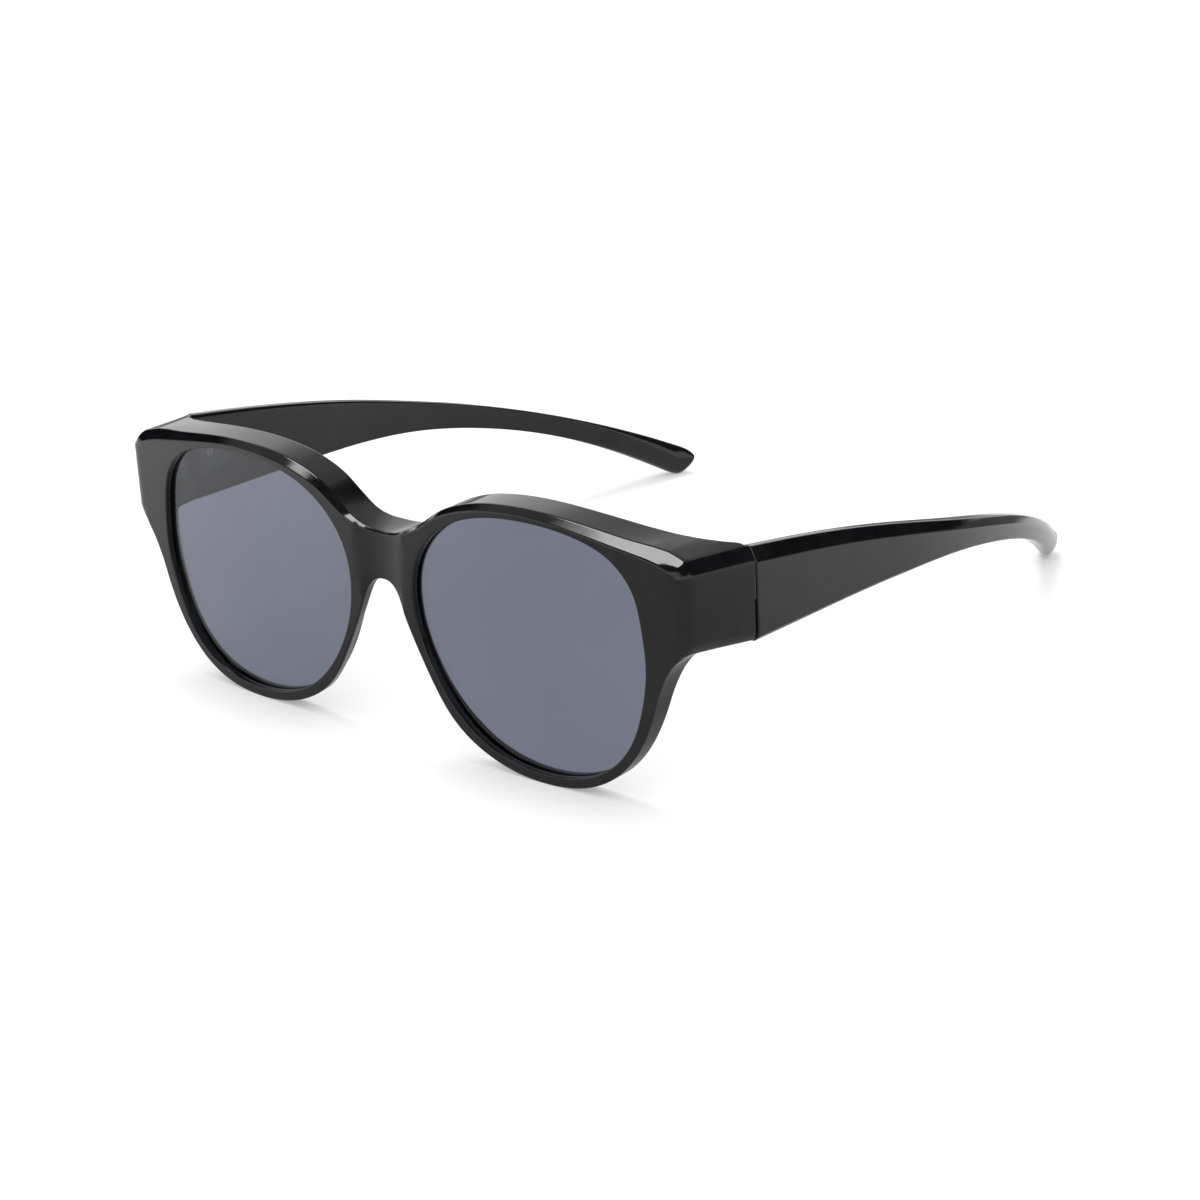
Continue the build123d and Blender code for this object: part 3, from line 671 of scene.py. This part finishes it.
def temple_points():
    """Grid of the wearer's left temple. Each row is an upright section across the depth, a bevelled and
    rounded oblong. Its height and thickness follow smooth curves through the stations, and the joint's
    edge is a quarter of an ellipse. Towards the tip the bevels grow until the section is nearly oval, the
    outer top one fading more slowly than the others before that. The tip's top runs on at its own slope
    and closes on the nose as a superellipse. Below, the falling foot and the heel, a superellipse that
    rises to the nose, meet in a hyperbola, and the end is lifted until it stands on the floor."""
    run = OVERALL_DEPTH - JOINT_DEPTH - JOINT_GAP
    tip_run = run - TIP_ROUND
    joint_edge = JOINT_EDGE_LENGTH * np.array(JOINT_EDGE_SHARES)
    stations = np.linspace(TEMPLE_START, tip_run, int(tip_run / TEMPLE_STEP))
    arm = np.concatenate([joint_edge, stations])
    last = len(arm) - 1
    angle = np.radians(np.linspace(0, TIP_LAST_ANGLE, TIP_STEPS + 1)[1:])
    along = np.concatenate([arm, tip_run + TIP_ROUND * np.sin(angle)])
    shares = np.array(TEMPLE_SHARES)
    height, thickness = spline(shares[:, 0], shares[:, 1:], np.minimum(along / tip_run, 1)).T
    height *= JOINT_HEIGHT
    thickness *= JOINT_THICKNESS
    inset, drop, turn = temple_line(along)
    past = np.clip(along - tip_run, 0, TIP_ROUND)
    close = (1 - (past / TIP_ROUND) ** TIP_FULLNESS) ** (1 / TIP_FULLNESS)
    middle = HINGE_Z - drop
    past_start = (along / tip_run - TIP_START_SHARE) / (1 - TIP_START_SHARE)
    end_blend = np.clip(past_start, 0, 1) ** 2
    foot = middle[last] - height[last] / 2
    top_line = middle + height / 2
    top_line -= end_blend * (top_line[last] - TIP_HEIGHT)
    bottom_line = middle - height / 2 - end_blend * foot
    fall = (top_line[last - 1] - TIP_HEIGHT) / (arm[last] - arm[last - 1])
    nose_top = TIP_NOSE + (TIP_HEIGHT - TIP_NOSE - fall * past) * close
    top = np.where(past > 0, nose_top, top_line)
    falling = np.where(past > 0, -TIP_FOOT_FALL * past, bottom_line)
    heel = (1 - (past / TIP_ROUND) ** HEEL_FULLNESS) ** (1 / HEEL_FULLNESS)
    rising = TIP_NOSE * (1 - heel)
    bottom = (falling + rising + np.sqrt((falling - rising) ** 2 + FOOT_SOFTNESS**2) - FOOT_SOFTNESS) / 2
    bottom += end_blend * max(0.0, -bottom.min())
    to_full = 1 - np.minimum(along / JOINT_EDGE_LENGTH, 1)
    shrink = JOINT_EDGE_INSET * (1 - np.sqrt(1 - to_full**2))
    top, bottom = top - shrink, bottom + shrink
    height = top - bottom
    full_depth = thickness / np.cos(turn)
    depth = full_depth * np.sqrt(close) - 2 * shrink
    fade = height / JOINT_HEIGHT
    fades = (fade, fade, fade**TOP_FADE, fade)
    outer = JOINT_X - inset - (full_depth - depth) / 2
    inner_foot, outer_foot, outer_top, inner_top = (
        (shrunk * size[0] * (1 - end_blend) + end_blend * tip[0] * depth / full_depth,
         shrunk * size[1] * (1 - end_blend) + end_blend * tip[1] * height)
        for size, tip, shrunk in zip((INNER_BEVEL, FOOT_BEVEL, TOP_BEVEL, INNER_BEVEL), TIP_BEVELS, fades)
    )
    corners = [
        (depth - inner_foot[0], bottom),
        (outer_foot[0], bottom),
        (0 * depth, bottom + outer_foot[1]),
        (0 * depth, top - outer_top[1]),
        (outer_top[0], top),
        (depth - inner_top[0], top),
        (depth, top - inner_top[1]),
        (depth, bottom + inner_foot[1]),
    ]
    y = JOINT_DEPTH + JOINT_GAP + along
    keys = np.stack([np.stack([outer - across, y, up], 1) for across, up in corners])
    sizes, steps, inner = zip(*TEMPLE_CORNERS)
    radii = np.array(sizes)[:, None] + end_blend * TIP_SOFTNESS
    return rounded_loops(keys, radii, np.full(len(sizes), TEMPLE_ROUND_SHARE), list(zip(steps, inner)))


def temple_arm(side, material):
    """One temple, closed at the joint and the tip, with its hinge pocket."""
    sign = 1 if side == "left" else -1
    grid = temple_points()
    rows, columns = grid.shape[:2]
    faces = ring_faces(rows, columns, False)
    name = f"{side}_temple_arm"
    mesh = build_mesh(name, grid.reshape(-1, 3) * (sign, 1, 1), faces)
    close_ends(mesh)
    piece = place_piece(name, mesh, material, f"{side}_temple", f"{side}_temple")
    cut_pockets(piece, hinge_cutters(sign, 1))
    soften(piece.data)
    return piece


def node_material(name):
    """New node material with its Principled shader."""
    material = bpy.data.materials.new(name)
    material.use_nodes = True
    return material, material.node_tree, material.node_tree.nodes["Principled BSDF"]


def noise(tree, scale, detail, rough=0.5):
    """Noise pattern on object coordinates, at a scale in cycles per metre."""
    coordinates = tree.nodes.new("ShaderNodeTexCoord")
    pattern = tree.nodes.new("ShaderNodeTexNoise")
    pattern.inputs["Scale"].default_value = scale
    pattern.inputs["Detail"].default_value = detail
    pattern.inputs["Roughness"].default_value = rough
    tree.links.new(coordinates.outputs["Object"], pattern.inputs["Vector"])
    return pattern.outputs["Fac"]


def stretched(tree, value, ends):
    """Value carried from one range to another and held at its ends."""
    node = tree.nodes.new("ShaderNodeMapRange")
    for name, end in zip(("From Min", "From Max", "To Min", "To Max"), ends):
        node.inputs[name].default_value = end
    tree.links.new(value, node.inputs["Value"])
    return node.outputs["Result"]


def blend_colours(tree, value, colours):
    """Colour between two, by a pattern."""
    ramp = tree.nodes.new("ShaderNodeValToRGB")
    for element, place, colour in zip(ramp.color_ramp.elements, COLOUR_RANGE, colours):
        element.position = place
        element.color = (*colour, 1)
    tree.links.new(value, ramp.inputs["Fac"])
    return ramp.outputs["Color"]


def bumped(tree, shader, height, strength, distance):
    """Bump of a pattern on a shader's normal."""
    bump = tree.nodes.new("ShaderNodeBump")
    bump.inputs["Strength"].default_value = strength
    bump.inputs["Distance"].default_value = distance
    tree.links.new(height, bump.inputs["Height"])
    tree.links.new(bump.outputs["Normal"], shader.inputs["Normal"])


def gloss_plastic(name, colours):
    """Polished moulded plastic: a faint ripple from the mould, and a polish that varies a little."""
    material, tree, shader = node_material(name)
    ripple = noise(tree, scale=160, detail=2)
    haze = noise(tree, scale=900, detail=4, rough=0.6)
    polish = (0.05, 0.11)
    tree.links.new(blend_colours(tree, ripple, colours), shader.inputs["Base Color"])
    tree.links.new(stretched(tree, haze, NOISE_RANGE + polish), shader.inputs["Roughness"])
    shader.inputs["IOR"].default_value = 1.48
    bumped(tree, shader, ripple, strength=0.12, distance=0.0001)
    return material


def tinted_lens(colours):
    """Smoked polycarbonate, coloured through, with a faint cloud in the colour."""
    material, tree, shader = node_material("smoked_lens")
    cloud = noise(tree, scale=40, detail=1)
    tree.links.new(blend_colours(tree, cloud, colours), shader.inputs["Base Color"])
    shader.inputs["Transmission Weight"].default_value = 1.0
    shader.inputs["Roughness"].default_value = 0.0
    shader.inputs["IOR"].default_value = 1.5
    return material


def brushed_metal(name, colours, roughness):
    """Steel with a fine grain along its height."""
    material, tree, shader = node_material(name)
    coordinates = tree.nodes.new("ShaderNodeTexCoord")
    grain_shape = tree.nodes.new("ShaderNodeMapping")
    grain_shape.inputs["Scale"].default_value = (9000, 9000, 700)
    pattern = tree.nodes.new("ShaderNodeTexNoise")
    pattern.inputs["Scale"].default_value = 1.0
    pattern.inputs["Detail"].default_value = 3.0
    tree.links.new(coordinates.outputs["Object"], grain_shape.inputs["Vector"])
    tree.links.new(grain_shape.outputs["Vector"], pattern.inputs["Vector"])
    grain = pattern.outputs["Fac"]
    tree.links.new(blend_colours(tree, grain, colours), shader.inputs["Base Color"])
    tree.links.new(stretched(tree, grain, NOISE_RANGE + roughness), shader.inputs["Roughness"])
    shader.inputs["Metallic"].default_value = 1.0
    bumped(tree, shader, grain, strength=0.15, distance=0.00002)
    return material


def dress(node, material):
    """Give a CAD node its finish."""
    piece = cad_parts[node]
    piece.data.materials.clear()
    piece.data.materials.append(material)


def height_ramp(tree, height, bands):
    """Level of light by height, straight between the stated places."""
    ramp = tree.nodes.new("ShaderNodeValToRGB")
    elements = ramp.color_ramp.elements
    for _ in range(len(bands) - 2):
        elements.new(0.5)
    for element, (place, level) in zip(elements, bands):
        element.position = place
        element.color = (level, level, level, 1)
    tree.links.new(height, ramp.inputs["Fac"])
    return ramp.outputs["Color"]


def patch(tree, direction, way, radius, soft):
    """Round patch of the sky about a direction: 1 inside it and 0 outside, with a soft edge."""
    nearness = tree.nodes.new("ShaderNodeVectorMath")
    nearness.operation = "DOT_PRODUCT"
    nearness.inputs[1].default_value = Vector(way).normalized()
    edge = tree.nodes.new("ShaderNodeMapRange")
    edge.inputs["From Min"].default_value = math.cos(math.radians(radius + soft))
    edge.inputs["From Max"].default_value = math.cos(math.radians(radius - soft))
    tree.links.new(direction, nearness.inputs[0])
    tree.links.new(nearness.outputs["Value"], edge.inputs["Value"])
    return edge.outputs["Result"]


def combined(tree, operation, first, second, third=None):
    """Result of a sum on two or three values, each a socket or a number."""
    node = tree.nodes.new("ShaderNodeMath")
    node.operation = operation
    for place, value in enumerate((first, second, third)):
        if isinstance(value, float):
            node.inputs[place].default_value = value
        elif value is not None:
            tree.links.new(value, node.inputs[place])
    return node.outputs["Value"]


def mixed(tree, share, first, second):
    """Shader between two, by the share of the second."""
    mix = tree.nodes.new("ShaderNodeMixShader")
    tree.links.new(share, mix.inputs["Fac"])
    tree.links.new(first, mix.inputs[1])
    tree.links.new(second, mix.inputs[2])
    return mix.outputs["Shader"]


def studio_world():
    """White all round for the camera and through the lenses. For gloss it is white near the horizon and
    dark above it, with two grey panels, two black shades that take light away, and one bright lamp. Matt
    surfaces get a plain light, stronger from above."""
    world = bpy.data.worlds.new("studio")
    bpy.context.scene.world = world
    world.use_nodes = True
    tree = world.node_tree
    tree.nodes.clear()
    links = tree.links
    coordinates = tree.nodes.new("ShaderNodeTexCoord")
    split = tree.nodes.new("ShaderNodeSeparateXYZ")
    paths = tree.nodes.new("ShaderNodeLightPath")
    direction = coordinates.outputs["Generated"]
    links.new(direction, split.inputs["Vector"])
    gloss = height_ramp(tree, split.outputs["Z"], GLOSS_BANDS)
    for level, *panel in PANELS:
        grey = combined(tree, "MULTIPLY", patch(tree, direction, *panel), level)
        gloss = combined(tree, "MAXIMUM", gloss, grey)
    for shade in SHADES:
        left_light = combined(tree, "SUBTRACT", 1.0, patch(tree, direction, *shade))
        gloss = combined(tree, "MULTIPLY", gloss, left_light)
    gloss = combined(tree, "MULTIPLY_ADD", patch(tree, direction, *LAMP), LAMP_LEVEL, gloss)
    matt = combined(tree, "MULTIPLY", height_ramp(tree, split.outputs["Z"], MATT_BANDS), MATT_LEVEL)
    lights = []
    for level in (gloss, matt, None):
        light = tree.nodes.new("ShaderNodeBackground")
        light.inputs["Color"].default_value = (1, 1, 1, 1)
        if level is not None:
            links.new(level, light.inputs["Strength"])
        lights.append(light.outputs["Background"])
    gloss_light, matt_light, white_light = lights
    seen = combined(tree, "MAXIMUM", paths.outputs["Is Camera Ray"], paths.outputs["Is Transmission Ray"])
    shown = mixed(tree, paths.outputs["Is Diffuse Ray"], gloss_light, matt_light)
    shown = mixed(tree, seen, shown, white_light)
    output = tree.nodes.new("ShaderNodeOutputWorld")
    links.new(shown, output.inputs["Surface"])


def studio_floor():
    """Wide pale floor that adds white for the camera and through the lenses, and still takes a soft
    shadow. Gloss sees painted light and shade glowing on it at a level of its own: one part falls with X,
    another grows with Y and with X, and both fade out far back."""
    low = min(corner[2] for corner in cad_box)
    reach = FLOOR_REACH
    corners = [(-reach, -reach, low), (reach, -reach, low), (reach, reach, low), (-reach, reach, low)]
    mesh = bpy.data.meshes.new("floor")
    mesh.from_pydata(corners, [], [(0, 1, 2, 3)])
    floor = bpy.data.objects.new("floor", mesh)
    bpy.context.scene.collection.objects.link(floor)
    material, tree, shader = node_material("pale_floor")
    shader.inputs["Base Color"].default_value = (FLOOR_WHITE, FLOOR_WHITE, FLOOR_WHITE, 1)
    shader.inputs["Roughness"].default_value = 1.0
    shader.inputs["Specular IOR Level"].default_value = 0.0
    links = tree.links
    coordinates = tree.nodes.new("ShaderNodeTexCoord")
    split = tree.nodes.new("ShaderNodeSeparateXYZ")
    links.new(coordinates.outputs["Object"], split.inputs["Vector"])
    # Painted light and shade on the floor, shown only to gloss: a glow that is dimmer in front and dark far
    # back.
    back = stretched(tree, split.outputs["Y"], SHEEN_BACK)
    right = stretched(tree, split.outputs["X"], SHEEN_RIGHT)
    left = stretched(tree, split.outputs["X"], SHEEN_LEFT)
    end = stretched(tree, split.outputs["Y"], SHEEN_END)
    painted_sheen_level = combined(tree, "MULTIPLY", combined(tree, "MULTIPLY_ADD", back, right, left), end)
    paths = tree.nodes.new("ShaderNodeLightPath")
    # Emission of the painted light and shade, seen only by glossy rays.
    painted_sheen_glow = tree.nodes.new("ShaderNodeEmission")
    links.new(painted_sheen_level, painted_sheen_glow.inputs["Strength"])
    glow = tree.nodes.new("ShaderNodeEmission")
    through = combined(tree, "MULTIPLY", paths.outputs["Is Transmission Ray"], LENS_GLOW)
    share = combined(tree, "MULTIPLY_ADD", paths.outputs["Is Camera Ray"], FLOOR_GLOW, through)
    outside = combined(tree, "SUBTRACT", 1.0, paths.outputs["Is Transmission Ray"])
    reflected = combined(tree, "MULTIPLY", paths.outputs["Is Glossy Ray"], outside)
    mirror_share = combined(tree, "MULTIPLY", reflected, SHEEN_SHARE)
    shown = mixed(tree, share, shader.outputs["BSDF"], glow.outputs["Emission"])
    shown = mixed(tree, mirror_share, shown, painted_sheen_glow.outputs["Emission"])
    links.new(shown, tree.nodes["Material Output"].inputs["Surface"])
    mesh.materials.append(material)


def photo_camera():
    """Camera at the photograph's angle and distance, aimed at the middle of the object."""
    azimuth, elevation, roll = (math.radians(angle) for angle in (VIEW_AZIMUTH, VIEW_ELEVATION, VIEW_ROLL))
    back = Vector((
        math.sin(azimuth) * math.cos(elevation), -math.cos(azimuth) * math.cos(elevation), math.sin(elevation)
    ))
    right = Vector((math.cos(azimuth), math.sin(azimuth), 0))
    up = right.cross(-back)
    side = math.cos(roll) * right + math.sin(roll) * up
    head = -math.sin(roll) * right + math.cos(roll) * up
    place = Vector(VIEW_TARGET) * MM + back * VIEW_DISTANCE * MM
    ahead = (-back + AIM_RIGHT * side - AIM_DOWN * head).normalized()
    head = (head - head.dot(ahead) * ahead).normalized()
    side = ahead.cross(head)
    data = bpy.data.cameras.new("camera")
    data.sensor_width = 36.0
    data.lens = FOCAL_LENGTH
    data.clip_start = 0.01
    camera = bpy.data.objects.new("camera", data)
    turn = Matrix((side, head, -ahead)).transposed().to_4x4()
    camera.matrix_world = Matrix.Translation(place) @ turn
    bpy.context.scene.collection.objects.link(camera)
    bpy.context.scene.camera = camera


front_black = gloss_plastic("front_black", ((0.0035, 0.0035, 0.004), (0.006, 0.006, 0.0068)))
temple_black = gloss_plastic("temple_black", ((0.004, 0.004, 0.0045), (0.007, 0.007, 0.0078)))
smoked_lens = tinted_lens(((0.152, 0.163, 0.213), (0.16, 0.171, 0.222)))
hinge_steel = brushed_metal("hinge_steel", ((0.12, 0.12, 0.125), (0.19, 0.19, 0.195)), (0.3, 0.42))
screw_steel = brushed_metal("screw_steel", ((0.42, 0.42, 0.42), (0.58, 0.58, 0.58)), (0.18, 0.3))

front_moulding(front_black)
for side in ("left", "right"):
    temple_arm(side, temple_black)
    dress(f"{side}_lens", smoked_lens)
    for leaf in ("front_hinge_leaf", "temple_hinge_leaf"):
        dress(f"{side}_{leaf}", hinge_steel)
    for screws in ("hinge_screw", "front_leaf_screws", "temple_leaf_screws"):
        dress(f"{side}_{screws}", screw_steel)

studio_world()
studio_floor()
photo_camera()
bpy.context.scene.view_settings.view_transform = "Standard"
